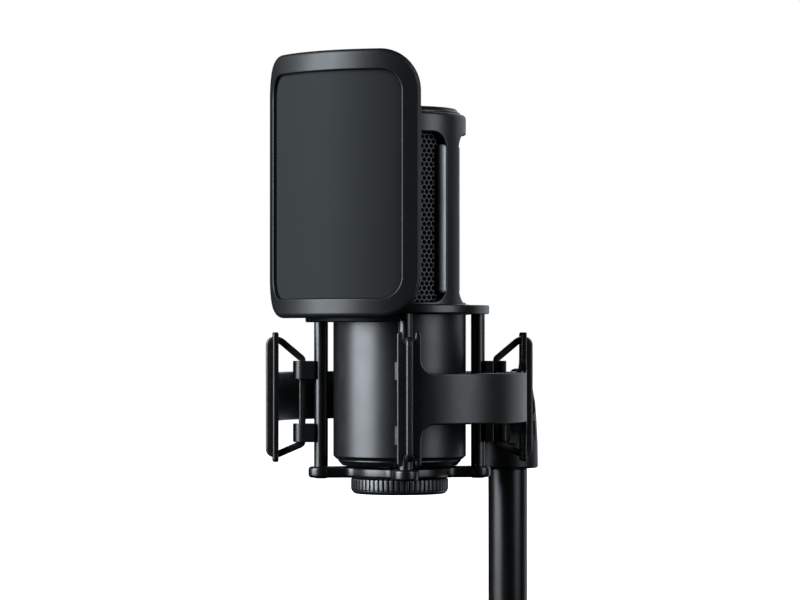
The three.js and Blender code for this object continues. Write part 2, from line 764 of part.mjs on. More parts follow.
add(microphone, "rear_diaphragm", diaphragm(1), goldFilm);
add(microphone, "capsule_saddle", capsuleSaddle(), mountPlastic);

add(microphone, "shield_frame", shieldFrame(), satinMetal);
add(microphone, "shield_screen", shieldScreen(), screenCloth);
add(microphone, "shield_foam", shieldFoam(), foamGrey);
add(microphone, "shield_back", shieldBack(), mountPlastic);
add(microphone, "shield_foot", shieldFoot(), mountPlastic);
add(microphone, "shield_magnet_right", shieldMagnet(1), steel);
add(microphone, "shield_magnet_left", shieldMagnet(-1), steel);

export default assembly;
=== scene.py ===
"""A side-address studio microphone in its shock mount, with a curved pop shield in front of it.

Every shape is drawn in millimetres in its own group's coordinates (stand, mount, microphone or shield)
and placed in the CAD's frame, in metres, when it becomes a piece. Curved plates are drawn flat, as
(width, height), and then bent round an upright line.
"""

import json
import math

import bmesh
import bpy
from mathutils import Matrix, Vector


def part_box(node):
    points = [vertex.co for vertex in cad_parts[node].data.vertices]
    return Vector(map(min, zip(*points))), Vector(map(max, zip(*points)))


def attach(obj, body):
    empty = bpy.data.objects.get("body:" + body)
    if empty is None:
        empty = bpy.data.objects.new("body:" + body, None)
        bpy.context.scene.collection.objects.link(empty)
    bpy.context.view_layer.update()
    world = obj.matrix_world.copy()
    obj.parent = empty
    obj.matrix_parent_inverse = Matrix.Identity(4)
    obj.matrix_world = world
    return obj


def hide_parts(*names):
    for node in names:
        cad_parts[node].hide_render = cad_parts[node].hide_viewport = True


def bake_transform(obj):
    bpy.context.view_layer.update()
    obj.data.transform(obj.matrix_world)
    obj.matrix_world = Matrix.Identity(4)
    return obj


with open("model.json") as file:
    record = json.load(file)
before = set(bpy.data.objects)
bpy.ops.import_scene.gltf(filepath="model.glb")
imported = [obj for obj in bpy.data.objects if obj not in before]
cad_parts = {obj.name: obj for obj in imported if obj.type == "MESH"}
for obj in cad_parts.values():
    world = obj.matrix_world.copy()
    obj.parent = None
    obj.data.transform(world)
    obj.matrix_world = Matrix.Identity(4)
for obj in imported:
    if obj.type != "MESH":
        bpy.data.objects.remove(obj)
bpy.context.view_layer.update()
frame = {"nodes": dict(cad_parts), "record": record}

MM = 0.001

# ---- Driving dimensions, in millimetres ----
GAP = 0.2  # between pieces that touch
SEAT = 0.3  # how far a post stands into a plate, and a liner out of one
GROOVE_SHARPNESS = 2.5  # higher makes the grooves between grip ribs narrower

TUBE_R = 8.75
TUBE_BORE = 7.0
TUBE_FOOT = 2.2
TUBE_TOP = 65.2
STUD_R = 7.6
STUD_TOP = 74.2
STUD_BORE = 5.5
BUSH_FLANGE = 2.0
BUSH_TOP = 14.0
SOCKET_R = 4.75
THREADS = 9
THREAD_TOP = 13.6
THREAD_PITCH = 12.5 / THREADS
THREAD_DEPTH = 0.5

ADAPTER_R = 13.6
ADAPTER_BOTTOM = 65.6
ADAPTER_SHELF = 77.0
ADAPTER_SLOT = 5.2
ADAPTER_FRONT = 5.0
ADAPTER_BORE = 9.6
ADAPTER_BORE_TOP = 74.8
CLEAR_BELOW = 60.0  # clear of the adapter, for the shapes that are cut from it
CLEAR_ABOVE = 120.0
CLEAR_ASIDE = 20.0
PIVOT_Y = 1.5
PIVOT_Z = 94.0
PIVOT_HOLE = 3.15
PIVOT_SHAFT = 2.9
SHAFT_IN_KNOB = 9.0
KEY_HOLE_R = 2.2
KEY_HOLE_DEPTH = 1.2
KNOB_SEAT_R = 7.6
KNOB_SEAT_X = -10.6
CAP_R = 4.2
CAP_SEAT_R = 4.6
CAP_SEAT_X = 9.4
CAP_TOP = 11.2
SET_SCREW_R = 1.6
SET_SCREW_FLOOR = 11.4
SET_SCREW_Y = 2.2
SET_SCREW_Z = 84.8
KNOB_INNER = -10.8
KNOB_OUTER = -23.5
KNOB_R = 9.5
KNOB_HUB = 6.4
KNOB_BORE_DEPTH = 9.4
KNOB_RIM = 2.9  # from the hub's inner face to the grip's
KNOB_DISH = 0.35
KNOB_DISH_R = 4.9
KNOB_FLUTE = 0.75
KNOB_FLUTES = 24
LUG_HALF = 4.2
LUG_KNUCKLE = 7.5
LUG_ROOT = 9.0
LUG_NECK = 12.0  # from the pivot to where the lug begins to widen

BAND_R = 54.7
BAND_WALL = 2.4  # the CAD's is 2.05, which looks thinner than the photo's
BAND_HEIGHT = 21.1
WING_WIDTH = 10.2
WING_HEIGHT = 55.5
WING_FILLET = 6.0
NOTCH_WIDTH = 4.6
NOTCH_DEPTH = 4.9

ELASTIC_WIDTH = 2.9
ELASTIC_THICK = 2.9  # the CAD's is 2.1, for the same reason
ELASTIC_ROUND = 0.85
ELASTIC_INNER = 41.9
ELASTIC_OUTER = 56.05
ELASTIC_TOP = 24.4
ELASTIC_UPPER = 16.3
ELASTIC_UPPER_TURN = 51.5
ELASTIC_LOWER = -20.0
ELASTIC_LOWER_TURN = 52.1

PLATE_R = 38.5
PLATE_HOLE = 30.6
PLATE_BOTTOM = 35.5
PLATE_TOP = 39.3
SPIDER_RING = 21.0
SPIDER_HOLE = 15.4
SPIDER_ARM = 9.0
SPIDER_BOSS = 5.4
SPIDER_FILLET = 5.0
SPIDER_BOTTOM = -34.6
SPIDER_TOP = -29.8
POST_CIRCLE = 33.8
POST_R = 3.0
SCREW_R = 2.7
SCREW_HEAD = 1.2
SCREW_SOCKET = 1.25
SCREW_SOCKET_DEPTH = 0.9
CLIP_REACH = 45.7
CLIP_BACK = 3.8
CLIP_FRONT = 4.8
CLIP_HEIGHT = 7.9
CLIP_MIDDLES = {"upper": 11.5, "lower": -15.4}
NUT_R = 20.9
NUT_HOLE = 15.0
NUT_BOTTOM = -41.4
NUT_TOP = -34.9
NUT_RIM = 1.5
NUT_RIBS = 58
NUT_GROOVE = 1.0

MIC_AIM = 4.3  # degrees that the microphone is turned in its mount
MIC_R = 28.5
MIC_WALL = 1.8
BODY_START = 2.7  # the tube begins this far above the microphone's own base
BODY_FOOT_R = 27.1
BODY_TOP = 64.8
BASE_FOOT_R = 24.7
BASE_R = 26.6
SPIGOT_R = 26.4
SPIGOT_BORE = 23.0
SPIGOT_TOP = 9.0
BASE_FLOOR = 5.0
NECK_R = 14.6
NECK_BORE = 9.9
NECK_END = -11.7
PIN_SPOTS = [(0, 3.6), (3.6, -1.4), (-3.6, -1.4)]
PIN_R = 1.2
PIN_HOLE = 1.4
PIN_LOW = -6.8
PIN_HIGH = 7.0
INSERT_LOW = -2.0
INSERT_HIGH = 4.0
HEAD_BOTTOM = 65.1
HEAD_TOP = 150.2
HEAD_WALL = 4.6
LID_R = 26.1
LID_PLUG_LOW = 148.0
LID_RISE = 2.6
PILLAR = 9.2
WINDOW_LOW = 69.7
WINDOW_HIGH = 141.8
WINDOW_FILLET = 7.0
GRILLE_R = 24.3  # the CAD's is 23.3; here the edges are let into the casing's wall
GRILLE_WALL = 0.3
GRILLE_BOTTOM = 66.0
GRILLE_TOP = 146.5
BAR_R = 2.05
BAR_X = 25.9
BAR_LOW = 73.6
BAR_HIGH = 136.6
HOLE_PITCH = 2.24
HOLE_R = 0.99

SHIELD_R = 57.0
SHIELD_BACK = 1.1  # the bend line, behind the microphone's axis
SHIELD_WIDTH = 89.7
SHIELD_BOTTOM = 62.9
SHIELD_TOP = 174.2
SHIELD_CORNER = 17.5
SHIELD_DEPTH = 8.7
SHIELD_SPLIT = 52.0  # radius where the front frame ends and the back ring begins
BEZEL = 8.4
BEZEL_UPPER = 8.7
BEZEL_LOWER = 8.1
BEZEL_CORNER = 9.1
SCREEN_R = 55.3
SCREEN_WALL = 0.5
SHELL_INSET = 0.6
SHELL_WINDOW_INSET = 0.4
CLOTH_INSET = 0.05
PAD_INSET = 0.3
FOOT_HALF = 23.0
FOOT_RIM = 38.9
FOOT_LIP = 42.0
FOOT_SHELF = 29.0
FOOT_BOTTOM = 61.2
FOOT_LIP_TOP = 63.4
FOOT_SEAT = 68.9
FOOT_TOP = 71.4


# ---- Where the groups stand, from the CAD's own boxes ----
def box_mm(node):
    low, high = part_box(node)
    return low / MM, high / MM


frame_low, frame_high = box_mm("outer_frame")
plate_low, plate_high = box_mm("upper_plate")
body_low, _ = box_mm("mic_tube")
MIC_Y = (plate_low.y + plate_high.y) / 2
FRAME_Z = (frame_low.z + frame_high.z) / 2
BASE_Z = body_low.z - BODY_START

STAND = Matrix.Identity(4)
MOUNT = Matrix.Translation((0, MIC_Y, FRAME_Z))
MIC = Matrix.Translation((0, MIC_Y, BASE_Z)) @ Matrix.Rotation(math.radians(MIC_AIM), 4, "Z")
SHIELD = MIC @ Matrix.Translation((0, SHIELD_BACK, 0))
WING_TURNS = (-45, 45, 135, 225)  # degrees about Z, from +X


def spoke(turn):
    return MOUNT @ Matrix.Rotation(math.radians(turn), 4, "Z")


# ---- Outlines ----
def soften(corners, closed=True, arc_step=12):
    """A polyline whose corners, (x, y, radius), are rounded."""
    count = len(corners)
    line = []
    for i, corner in enumerate(corners):
        at = Vector(corner[:2])
        radius = corner[2] if len(corner) > 2 else 0
        if not radius or (not closed and i in (0, count - 1)):
            line.append(at)
            continue
        back = (Vector(corners[i - 1][:2]) - at).normalized()
        onward = (Vector(corners[(i + 1) % count][:2]) - at).normalized()
        half = back.angle(onward) / 2
        centre = at + (back + onward).normalized() * radius / math.sin(half)
        start = at + back * (radius / math.tan(half)) - centre
        end = at + onward * (radius / math.tan(half)) - centre
        turn = math.copysign(math.pi - 2 * half, start.cross(end))
        steps = max(2, math.ceil(abs(math.degrees(turn)) / arc_step))
        for k in range(steps + 1):
            line.append(centre + Matrix.Rotation(turn * k / steps, 2) @ start)
    return line


def rounded_rectangle(width, bottom, top, radius, arc_step=9):
    half = width / 2
    corners = [(-half, bottom), (half, bottom), (half, top), (-half, top)]
    return soften([(x, y, radius) for x, y in corners], arc_step=arc_step)


def circle(radius, x=0.0, y=0.0, count=48):
    angles = [2 * math.pi * k / count for k in range(count)]
    return [Vector((x + radius * math.cos(a), y + radius * math.sin(a))) for a in angles]


def arc(x, y, radius, start, end, step=8):
    """Points of an arc, with its angles in degrees."""
    steps = max(2, math.ceil(abs(end - start) / step))
    angles = [math.radians(start + (end - start) * k / steps) for k in range(steps + 1)]
    return [Vector((x + radius * math.cos(a), y + radius * math.sin(a))) for a in angles]


def offset_line(line, inset, closed):
    """Moves a polyline to its left, which is into the material of an anticlockwise outline."""
    moved = []
    for i, at in enumerate(line):
        last = len(line) - 1
        before = at - line[i - 1] if closed or i > 0 else None
        after = line[(i + 1) % len(line)] - at if closed or i < last else None
        before = (after if before is None else before).normalized()
        after = (before if after is None else after).normalized()
        normal = Vector((-before.y, before.x))
        bisector = (normal + Vector((-after.y, after.x))).normalized()
        moved.append(at + bisector * inset / max(bisector.dot(normal), 0.3))
    return moved


# ---- Mesh building ----
def bridge(bm, first, second, closed=True):
    count = len(first)
    for k in range(count if closed else count - 1):
        after = (k + 1) % count
        bm.faces.new((first[k], first[after], second[after], second[k]))


def turned(profile, segments=128, flutes=0, closed=False):
    """Turns a profile of (radius, height, flute depth) about Z. Flutes are grooves along the axis."""
    bm = bmesh.new()
    rings = []
    for point in profile:
        radius, height = point[:2]
        depth = point[2] if len(point) > 2 else 0
        if radius < 1e-6:
            rings.append([bm.verts.new((0, 0, height))])
            continue
        ring = []
        for k in range(segments):
            angle = 2 * math.pi * k / segments
            groove = max(0.0, math.cos(flutes * angle)) ** GROOVE_SHARPNESS if depth else 0
            reach = radius - depth * groove
            ring.append(bm.verts.new((reach * math.cos(angle), reach * math.sin(angle), height)))
        rings.append(ring)
    pairs = list(zip(rings, rings[1:]))
    if closed:
        pairs.append((rings[-1], rings[0]))
    for first, second in pairs:
        if len(first) == len(second):
            bridge(bm, first, second)
            continue
        tip, ring = (first, second) if len(first) == 1 else (second, first)
        for k in range(segments):
            bm.faces.new((tip[0], ring[k], ring[(k + 1) % segments]))
    return bm


def lathe(corners, closed=False, **options):
    """Turns a profile of (radius, height, rounding) about Z."""
    return turned([tuple(p) for p in soften(corners, closed)], closed=closed, **options)


def rim_section(low, high, edge, hold, steps):
    """(inset, height) of each ring round a plate's rim, from its lower face to its upper face."""
    rings = [(edge + hold, low)]
    for k in range(steps + 1):
        angle = math.pi / 2 * k / steps
        rings.append((edge * (1 - math.sin(angle)), low + edge * (1 - math.cos(angle))))
    return rings + [(inset, low + high - z) for inset, z in reversed(rings)]


def slab(lines, low, high, edges, open_ends=0, hold=0.25, steps=3):
    """A plate from z = low to z = high whose rims are rounded.

    Lines run with the material on their left. The first open_ends of them, if any, are open lines whose
    ends are joined by straight cuts; the others are closed: an outline and its holes.
    """
    bm = bmesh.new()
    caps = {"low": [], "high": []}
    for i, (line, edge) in enumerate(zip(lines, edges)):
        closed = i >= open_ends
        section = rim_section(low, high, edge, hold, steps)
        rings = []
        for inset, z in section:
            rings.append([bm.verts.new((p.x, p.y, z)) for p in offset_line(line, inset, closed)])
        for first, second in zip(rings, rings[1:]):
            bridge(bm, first, second, closed)
        caps["low"].append(rings[0])
        caps["high"].append(rings[-1])
    for rims in caps.values():
        boundary = []
        for i, rim in enumerate(rims):
            pairs = list(zip(rim, rim[1:])) + ([(rim[-1], rim[0])] if i >= open_ends else [])
            boundary += [bm.edges.get(pair) for pair in pairs]
        for i in range(open_ends):
            boundary.append(bm.edges.new((rims[i][-1], rims[(i + 1) % open_ends][0])))
        bmesh.ops.triangle_fill(bm, use_beauty=True, use_dissolve=False, edges=boundary)
    return bm


def wrap(bm, radius, spacing=2.0):
    """Bends a plate drawn as (width at that radius, height, distance from the bend line) round Z."""
    widths = [v.co.x for v in bm.verts]
    first = math.ceil((min(widths) + 0.3) / spacing)
    last = math.floor((max(widths) - 0.3) / spacing)
    for k in range(first, last + 1):
        everything = bm.verts[:] + bm.edges[:] + bm.faces[:]
        plane = {"plane_co": (k * spacing, 0, 0), "plane_no": (1, 0, 0)}
        bmesh.ops.bisect_plane(bm, geom=everything, dist=1e-4, **plane)
    bend(bm, radius)
    return bm


def bend(bm, radius):
    for v in bm.verts:
        angle = v.co.x / radius
        v.co = (v.co.z * math.sin(angle), -v.co.z * math.cos(angle), v.co.y)


def add_copy(whole, bm, turn=0):
    copy = bpy.data.meshes.new("copy")
    bm.to_mesh(copy)
    copy.transform(Matrix.Rotation(math.radians(turn), 4, "Z"))
    whole.from_mesh(copy)
    bpy.data.meshes.remove(copy)


def repeated(bm, turns):
    """Copies of a sector, turned about Z and joined where their ends meet."""
    whole = bmesh.new()
    for turn in turns:
        add_copy(whole, bm, turn)
    bm.free()
    bmesh.ops.remove_doubles(whole, verts=whole.verts[:], dist=0.002)
    return whole


def swept(path, section):
    """Sweeps a closed section of (along the path's normal, across) round a closed path of (x, z)."""
    bm = bmesh.new()
    rings = []
    count = len(path)
    for i, at in enumerate(path):
        along = (path[(i + 1) % count] - path[i - 1]).normalized()
        normal = Vector((along.y, -along.x))
        ring = []
        for out, across in section:
            spot = at + normal * out
            ring.append(bm.verts.new((spot.x, across, spot.y)))
        rings.append(ring)
    for first, second in zip(rings, rings[1:] + rings[:1]):
        bridge(bm, first, second)
    return bm


def move(bm, matrix):
    bm.transform(matrix)
    return bm


def joined(*parts):
    whole = bmesh.new()
    for part in parts:
        add_copy(whole, part)
        part.free()
    return whole


ALONG_X = Matrix.Rotation(math.radians(90), 4, "Y")


# ---- Turning a drawn shape into a piece of the object ----
def apply_modifiers(obj):
    graph = bpy.context.evaluated_depsgraph_get()
    mesh = bpy.data.meshes.new_from_object(obj.evaluated_get(graph), depsgraph=graph)
    obj.modifiers.clear()
    old = obj.data
    obj.data = mesh
    bpy.data.meshes.remove(old)


def new_object(name, bm, place=STAND):
    bmesh.ops.recalc_face_normals(bm, faces=bm.faces[:])
    mesh = bpy.data.meshes.new(name)
    bm.to_mesh(mesh)
    bm.free()
    mesh.transform(Matrix.Scale(MM, 4) @ place)
    obj = bpy.data.objects.new(name, mesh)
    bpy.context.scene.collection.objects.link(obj)
    return obj


def cut(obj, *tools):
    """Takes other objects' shapes away from an object's."""
    for tool in tools:
        cutter = obj.modifiers.new("cut", "BOOLEAN")
        cutter.operation = "DIFFERENCE"
        cutter.solver = "EXACT"
        cutter.object = tool
    apply_modifiers(obj)
    for tool in tools:
        bpy.data.objects.remove(tool)


def ease_edges(obj, width):
    """Rounds the sharp edges that a cut leaves."""
    bevel = obj.modifiers.new("ease", "BEVEL")
    bevel.width = width * MM
    bevel.segments = 2
    bevel.limit_method = "ANGLE"
    bevel.angle_limit = math.radians(40)
    apply_modifiers(obj)


def make_piece(obj, body, slot, nodes, paint=None, sharp=35):
    """Shades an object, paints it and hands it to its CAD body in place of its CAD nodes.

    The paint is the slot's own unless another is named. A piece that is blended has no body.
    """
    mesh = obj.data
    mesh.polygons.foreach_set("use_smooth", [True] * len(mesh.polygons))
    mesh.set_sharp_from_angle(angle=math.radians(sharp))
    weighted = obj.modifiers.new("weighted", "WEIGHTED_NORMAL")
    weighted.keep_sharp = True
    apply_modifiers(obj)
    obj.data.name = obj.name
    obj.data.materials.clear()
    obj.data.materials.append(paints[paint or slot])
    if body:
        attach(obj, body)
    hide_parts(*nodes)
    return obj


def piece(name, bm, place, body, slot, nodes, **options):
    return make_piece(new_object(name, bm, place), body, slot, nodes, **options)


# ---- Materials ----
CLOUD_SCALE = 45  # slow changes of tone over a whole part
PATCH_SCALE = 160  # changes of gloss
MARK_SCALE = 900  # turning and brushing marks
CELL_SCALE = 1400  # the foam's cells
WAVE_BANDS = 3.183  # bands per unit that a wave texture of scale 1 draws


def node_material(name):
    material = bpy.data.materials.new(name)
    material.use_nodes = True
    nodes = material.node_tree.nodes
    return material, nodes, material.node_tree.links, nodes["Principled BSDF"]


def object_noise(nodes, links, scale, detail=3.0):
    place = nodes.new("ShaderNodeTexCoord")
    noise = nodes.new("ShaderNodeTexNoise")
    noise.inputs["Scale"].default_value = scale
    noise.inputs["Detail"].default_value = detail
    links.new(place.outputs["Object"], noise.inputs["Vector"])
    return noise


def spread(nodes, links, source, low, high):
    """Maps a texture's middle range to the range from low to high."""
    ramp = nodes.new("ShaderNodeMapRange")
    ramp.inputs["From Min"].default_value = 0.3
    ramp.inputs["From Max"].default_value = 0.7
    ramp.inputs["To Min"].default_value = low
    ramp.inputs["To Max"].default_value = high
    links.new(source, ramp.inputs["Value"])
    return ramp.outputs["Result"]


def two_tones(nodes, links, source, dark, light):
    ramp = nodes.new("ShaderNodeValToRGB")
    ramp.color_ramp.elements[0].position = 0.35
    ramp.color_ramp.elements[0].color = (*dark, 1)
    ramp.color_ramp.elements[1].position = 0.65
    ramp.color_ramp.elements[1].color = (*light, 1)
    links.new(source, ramp.inputs["Fac"])
    return ramp.outputs["Color"]


def add_bump(nodes, links, shader, height, strength, depth_mm):
    bump = nodes.new("ShaderNodeBump")
    bump.inputs["Strength"].default_value = strength
    bump.inputs["Distance"].default_value = depth_mm * MM
    links.new(height, bump.inputs["Height"])
    links.new(bump.outputs["Normal"], shader.inputs["Normal"])


def shaded(color, share):
    return tuple(c * share for c in color)


def coated(name, color, roughness, grain=2600, texture=0.012, metallic=0.0, vary=0.12, shine=0.5):
    """Satin paint or fine moulded plastic: slight colour and gloss changes over a fine grain.

    grain is the noise's scale, finer as it grows, and texture its depth in millimetres.
    """
    material, nodes, links, shader = node_material(name)
    cloud = object_noise(nodes, links, CLOUD_SCALE)
    tones = two_tones(nodes, links, cloud.outputs["Fac"], shaded(color, 1 - vary), shaded(color, 1 + vary))
    links.new(tones, shader.inputs["Base Color"])
    patches = object_noise(nodes, links, PATCH_SCALE, 4)
    gloss = spread(nodes, links, patches.outputs["Fac"], roughness - 0.02, roughness + 0.02)
    links.new(gloss, shader.inputs["Roughness"])
    shader.inputs["Metallic"].default_value = metallic
    shader.inputs["Specular IOR Level"].default_value = shine
    fine = object_noise(nodes, links, grain, 2)
    add_bump(nodes, links, shader, fine.outputs["Fac"], 0.25, texture)
    return material


def machined(name, color, roughness):
    """Bare metal with fine turning or brushing marks."""
    material, nodes, links, shader = node_material(name)
    marks = object_noise(nodes, links, MARK_SCALE, 2)
    tones = two_tones(nodes, links, marks.outputs["Fac"], shaded(color, 0.85), color)
    links.new(tones, shader.inputs["Base Color"])
    gloss = spread(nodes, links, marks.outputs["Fac"], roughness - 0.06, roughness + 0.08)
    links.new(gloss, shader.inputs["Roughness"])
    shader.inputs["Metallic"].default_value = 1.0
    add_bump(nodes, links, shader, marks.outputs["Fac"], 0.2, 0.01)
    return material


def woven(name, color, pitch_mm, roughness):
    """Close-woven cloth: two sets of threads crossing, drawn on the piece's own UV map in millimetres."""
    material, nodes, links, shader = node_material(name)
    place = nodes.new("ShaderNodeUVMap")
    place.uv_map = "UVMap"
    threads = []
    for direction in ("X", "Y"):
        wave = nodes.new("ShaderNodeTexWave")
        wave.wave_type = "BANDS"
        wave.bands_direction = direction
        wave.inputs["Scale"].default_value = 1 / (pitch_mm * WAVE_BANDS)
        wave.inputs["Distortion"].default_value = 0.3
        links.new(place.outputs["UV"], wave.inputs["Vector"])
        threads.append(wave)
    weave = nodes.new("ShaderNodeMath")
    weave.operation = "MULTIPLY"
    links.new(threads[0].outputs["Fac"], weave.inputs[0])
    links.new(threads[1].outputs["Fac"], weave.inputs[1])
    tones = two_tones(nodes, links, weave.outputs["Value"], shaded(color, 0.82), shaded(color, 1.1))
    links.new(tones, shader.inputs["Base Color"])
    shader.inputs["Roughness"].default_value = roughness
    shader.inputs["Specular IOR Level"].default_value = 0.03
    shader.inputs["Sheen Weight"].default_value = 0.03
    shader.inputs["Sheen Roughness"].default_value = 0.5
    add_bump(nodes, links, shader, weave.outputs["Value"], 0.25, 0.05)
    return material


def open_foam(name, color):
    material, nodes, links, shader = node_material(name)
    place = nodes.new("ShaderNodeTexCoord")
    cells = nodes.new("ShaderNodeTexVoronoi")
    cells.inputs["Scale"].default_value = CELL_SCALE
    links.new(place.outputs["Object"], cells.inputs["Vector"])
    tones = two_tones(nodes, links, cells.outputs["Distance"], shaded(color, 0.4), shaded(color, 1.3))
    links.new(tones, shader.inputs["Base Color"])
    shader.inputs["Roughness"].default_value = 0.95
    shader.inputs["Specular IOR Level"].default_value = 0.1
    add_bump(nodes, links, shader, cells.outputs["Distance"], 0.8, 0.4)
    return material


BLACK = (0.0012, 0.0013, 0.0014)
CHARCOAL = (0.0016, 0.0018, 0.0019)
MOULDED = {"grain": 3200, "texture": 0.02}

paints = {
    "tube_metal": coated("tube_metal", BLACK, 0.3, shine=0.32),
    "mount_metal": coated("mount_metal", BLACK, 0.31, shine=0.42),
    "adapter_plastic": coated("adapter_plastic", BLACK, 0.4, shine=0.22, **MOULDED),
    "mount_plastic": coated("mount_plastic", BLACK, 0.36, shine=0.42, **MOULDED),
    "knob_plastic": coated("knob_plastic", CHARCOAL, 0.4, shine=0.75, **MOULDED),
    "mic_metal": coated("mic_metal", BLACK, 0.375, shine=0.46),
    "grille_metal": coated("grille_metal", (0.02, 0.0206, 0.0212), 0.66, shine=0.9),
    "shield_metal": coated("shield_metal", (0.0026, 0.003, 0.0032), 0.42, shine=0.24),
    "shield_plastic": coated("shield_plastic", BLACK, 0.46, shine=0.1, **MOULDED),
    "insert_plastic": coated("insert_plastic", BLACK, 0.4),
    "band_rubber": coated("band_rubber", (0.0015, 0.0016, 0.0017), 0.4, grain=1800, texture=0.03),
    "board": coated("board", (0.01, 0.07, 0.03), 0.4),
    "core_iron": coated("core_iron", (0.03, 0.03, 0.032), 0.5, metallic=0.6),
    "brass": machined("brass", (0.62, 0.45, 0.19), 0.3),
    "fastener_steel": machined("fastener_steel", (0.5, 0.5, 0.51), 0.32),
    "capsule_brass": machined("capsule_brass", (0.6, 0.44, 0.2), 0.3),
    "diaphragm_gold": machined("diaphragm_gold", (0.82, 0.6, 0.26), 0.22),
    "screen_cloth": woven("screen_cloth", (0.0135, 0.0147, 0.0148), 0.42, 0.55),
    "foam": open_foam("foam", (0.02, 0.02, 0.021)),
    # painted shade: near black, so that the holes of the grilles look dark
    "liner_painted_shade": coated("liner_painted_shade", (0.0008, 0.0008, 0.0009), 0.7, shine=0.04),
    # painted highlight: light grey, so that the bars show as the lit edges of the head's windows
    "bar_painted_highlight": coated("bar_painted_highlight", (0.42, 0.425, 0.43), 0.6, metallic=0.6),
}

for part in frame["record"]["subparts"]:
    cad_mesh = frame["nodes"][part["node"]].data
    cad_mesh.materials.clear()
    cad_mesh.materials.append(paints[part["material_slot"]])
# The fine mesh behind the grilles is painted near black, darker than they are, as painted shade so that
# the grilles' holes look dark.
frame["nodes"]["grille_liner"].data.materials[0] = paints["liner_painted_shade"]


# ---- Stand and swivel adapter ----
def stand_pieces():
    profile = [
        (TUBE_BORE, TUBE_FOOT),
        (TUBE_R, TUBE_FOOT, 0.3),
        (TUBE_R, TUBE_TOP, 0.4),
        (STUD_R, TUBE_TOP),
        (STUD_R, STUD_TOP, 0.5),
        (STUD_BORE, STUD_TOP),
        (STUD_BORE, TUBE_TOP - 2),
        (TUBE_BORE, TUBE_TOP - 4),
    ]
    tube = lathe(profile, closed=True)
    piece("stand_tube_paint", tube, STAND, "stand", "tube_metal", ["stand_tube"])
    bush = [
        (SOCKET_R, 0, 0.4),
        (TUBE_R, 0, 0.3),
        (TUBE_R, BUSH_FLANGE),
        (TUBE_BORE - GAP, BUSH_FLANGE),
        (TUBE_BORE - GAP, BUSH_TOP),
    ]
    for k in range(THREADS):
        bush.append((SOCKET_R, THREAD_TOP - k * THREAD_PITCH))
        bush.append((SOCKET_R + THREAD_DEPTH, THREAD_TOP - (k + 0.5) * THREAD_PITCH))
    bm = lathe(bush, closed=True)
    piece("tube_end_insert", bm, STAND, "stand", "brass", ["tube_end_bush"])


def adapter_profile():
    """The adapter's tapering outline, up to its rounded top."""
    return [
        (0, ADAPTER_BOTTOM),
        (ADAPTER_R, ADAPTER_BOTTOM, 1),
        (13.4, ADAPTER_SHELF, 8),
        (12.9, 87, 8),
        (12.3, 95, 8),
        (11.2, 101, 6),
        (9.2, 106.5, 5),
        (6, 110, 4),
        (0, 111.2),
    ]


def box_object(name, low, high):
    size = Vector(high) - Vector(low)
    bm = bmesh.new()
    bmesh.ops.create_cube(bm, size=1)
    middle = (Vector(high) + Vector(low)) / 2
    bm.transform(Matrix.Translation(middle) @ Matrix.Diagonal((*size, 1)))
    return new_object(name, bm)


def bar_along_x(name, radius, low, high, y=PIVOT_Y, z=PIVOT_Z):
    bm = turned([(0, low), (radius, low), (radius, high), (0, high)], 64)
    return new_object(name, move(bm, ALONG_X), Matrix.Translation((0, y, z)))


def adapter_piece():
    body = new_object("swivel_adapter", lathe(adapter_profile(), segments=96))
    aside, above = CLEAR_ASIDE, CLEAR_ABOVE
    bore = [
        (0, CLEAR_BELOW),
        (ADAPTER_BORE, CLEAR_BELOW),
        (ADAPTER_BORE, ADAPTER_BORE_TOP),
        (0, ADAPTER_BORE_TOP),
    ]
    cut(
        body,
        box_object("slot", (-ADAPTER_SLOT, -aside, ADAPTER_SHELF), (ADAPTER_SLOT, aside, above)),
        box_object("face", (-aside, -aside, ADAPTER_SHELF), (aside, -ADAPTER_FRONT, above)),
        new_object("bore", turned(bore, 64)),
        bar_along_x("hole", PIVOT_HOLE, -aside, aside),
        bar_along_x("cap_seat", CAP_SEAT_R, CAP_SEAT_X, aside),
        bar_along_x("knob_seat", KNOB_SEAT_R, -aside, KNOB_SEAT_X),
        bar_along_x("set_screw", SET_SCREW_R, SET_SCREW_FLOOR, aside, SET_SCREW_Y, SET_SCREW_Z),
    )
    ease_edges(body, 0.45)
    make_piece(body, "adapter", "mount_plastic", ["stand_adapter"], paint="adapter_plastic")


def bolt_piece():
    shaft_end = KNOB_SEAT_X - SHAFT_IN_KNOB
    profile = [
        (0, shaft_end),
        (PIVOT_SHAFT, shaft_end, 0.4),
        (PIVOT_SHAFT, CAP_SEAT_X + GAP),
        (CAP_R, CAP_SEAT_X + GAP),
        (CAP_R, CAP_TOP, 0.6),
        (KEY_HOLE_R, CAP_TOP, 0.2),
        (KEY_HOLE_R, CAP_TOP - KEY_HOLE_DEPTH, 0.2),
        (0, CAP_TOP - KEY_HOLE_DEPTH),
    ]
    place = Matrix.Translation((0, PIVOT_Y, PIVOT_Z))
    bolt = move(lathe(profile, segments=64), ALONG_X)
    piece("tilt_bolt_head", bolt, place, "adapter", "mount_metal", ["tilt_bolt"])


